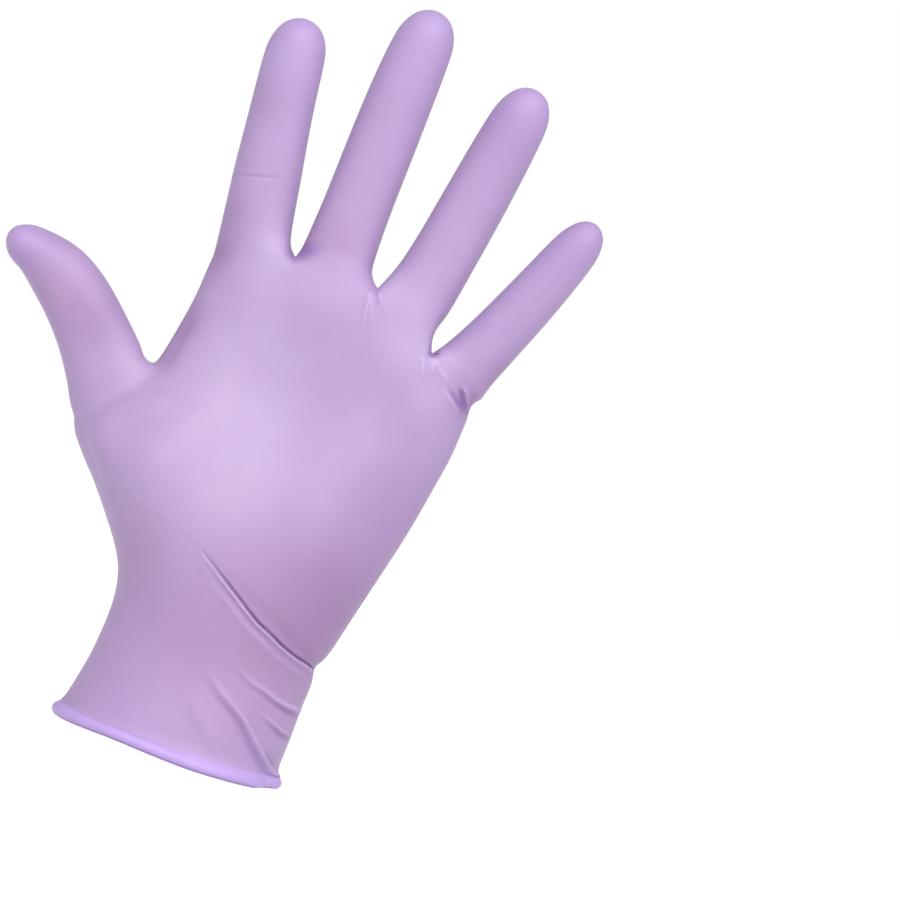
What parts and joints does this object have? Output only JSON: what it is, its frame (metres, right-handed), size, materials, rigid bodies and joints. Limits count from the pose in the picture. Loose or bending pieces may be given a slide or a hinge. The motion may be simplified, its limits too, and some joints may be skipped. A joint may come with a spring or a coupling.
{
  "type": "disposable glove",
  "caption": "Thin dipped nitrile examination glove in worn form: five finger stalls, palm, narrow wrist and a cuff with a rolled bead.",
  "frame": {"origin": "centre of the cuff's opening, level with its bead, where the hand goes in", "axes": "+Z from the cuff to the fingertips; +X to the little-finger side; the palm side faces -Y"},
  "size_m": [0.1689, 0.0564, 0.2358],
  "materials": {
    "nitrile_film": "satin"
  },
  "bodies": {
    "root": {"glove": "nitrile_film"}
  },
  "joints": []
}
